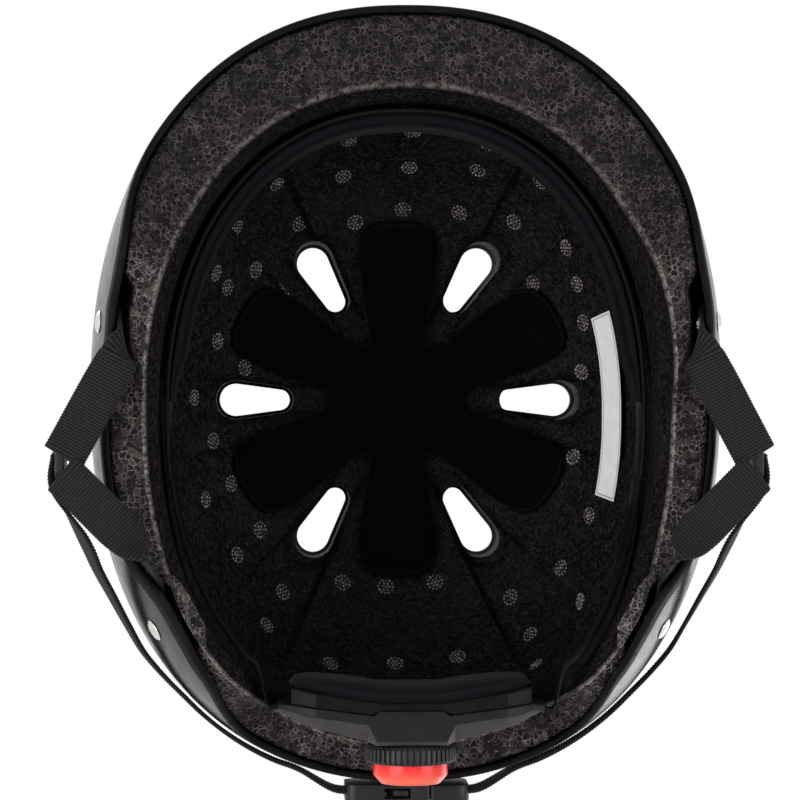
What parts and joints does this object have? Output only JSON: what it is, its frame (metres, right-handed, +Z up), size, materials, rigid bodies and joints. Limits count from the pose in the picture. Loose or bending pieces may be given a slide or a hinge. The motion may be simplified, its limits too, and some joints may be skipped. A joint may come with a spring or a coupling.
{
  "type": "scooter helmet",
  "caption": "Hard shell scooter helmet with foam liner, petal crown pad, dial fit cradle with a red light, and buckled webbing straps.",
  "frame": {"origin": "middle of the helmet's box, on the plane that the rim's low tabs stand on", "axes": "+Z up to the crown, -Y to the brow, +Y to the dial at the back, +X to the wearer's left"},
  "size_m": [0.2504, 0.2806, 0.1604],
  "materials": {
    "shell_plastic": "black gloss moulded shell",
    "foam": "black moulded foam beads",
    "pad_cloth": "dark navy brushed cloth over foam",
    "hook_tape": "black hook tape",
    "band_plastic": "satin black nylon",
    "cradle_grey": "dark grey satin nylon",
    "steel": "plain steel",
    "rack_plastic": "black nylon",
    "dial_black": "black ribbed nylon",
    "red_lens": "clear red lens",
    "board_green": "green circuit board",
    "led_white": "white light emitting chips",
    "rivet_metal": "bright plated rivets",
    "label_white": "plain white sticker",
    "buckle_black": "black acetal",
    "webbing": "black ribbed nylon webbing"
  },
  "bodies": {
    "helmet": {"outer_shell": "shell_plastic", "eps_liner": "foam", "crown_pad": "pad_cloth", "hook_dots": "hook_tape", "headband_ring": "band_plastic", "band_pins": "band_plastic", "brow_pad": "pad_cloth", "left_band": "band_plastic", "right_band": "band_plastic", "rivets": "rivet_metal", "rivet_washers": "steel", "front_leg_left": "webbing", "front_leg_right": "webbing", "rear_leg_left": "webbing", "rear_leg_right": "webbing", "left_divider": "buckle_black", "right_divider": "buckle_black", "chin_strap_left": "webbing", "chin_strap_right": "webbing", "buckle_female": "buckle_black", "size_label": "label_white"},
    "cradle": {"cradle_back": "cradle_grey", "cradle_front": "band_plastic", "cradle_screws": "steel", "nape_pad": "pad_cloth", "dial_washer": "steel"},
    "rack_left": {"left_rack": "rack_plastic"},
    "rack_right": {"right_rack": "rack_plastic"},
    "dial": {"dial_wheel": "dial_black", "pinion": "rack_plastic", "dial_screw": "steel", "light_board": "board_green", "light_switch": "steel", "leds": "led_white", "coin_cell": "steel"},
    "lens": {"light_lens": "red_lens"},
    "buckle_tongue": {"buckle_male": "buckle_black", "buckle_prongs": "buckle_black"}
  },
  "joints": [
    {"name": "cradle_slide", "type": "slide", "parent": "helmet", "child": "cradle", "axis": [0, -1, 0], "range_m": [0, 0.012], "deforming": ["left_band", "right_band"]},
    {"name": "dial_turn", "type": "hinge", "parent": "cradle", "child": "dial", "pos_m": [0, 0.117, 0.0175], "axis": [0, 1, 0], "range_deg": [0, 171.8]},
    {"name": "left_rack_slide", "type": "slide", "parent": "cradle", "child": "rack_left", "axis": [1, 0, 0], "range_m": [0, 0.012]},
    {"name": "right_rack_slide", "type": "slide", "parent": "cradle", "child": "rack_right", "axis": [-1, 0, 0], "range_m": [0, 0.012]},
    {"name": "light_press", "type": "slide", "parent": "dial", "child": "lens", "axis": [0, -1, 0], "range_m": [0, 0.001], "stiffness_N_per_m": 400},
    {"name": "buckle_release", "type": "slide", "parent": "helmet", "child": "buckle_tongue", "axis": [1, 0, 0], "range_m": [0, 0.024], "deforming": ["buckle_prongs", "chin_strap_right"]}
  ],
  "couplings": [
    {"joint": "dial_turn", "follows": "cradle_slide", "rad_per_m": 250},
    {"joint": "left_rack_slide", "follows": "cradle_slide", "ratio": 1},
    {"joint": "right_rack_slide", "follows": "cradle_slide", "ratio": 1}
  ]
}
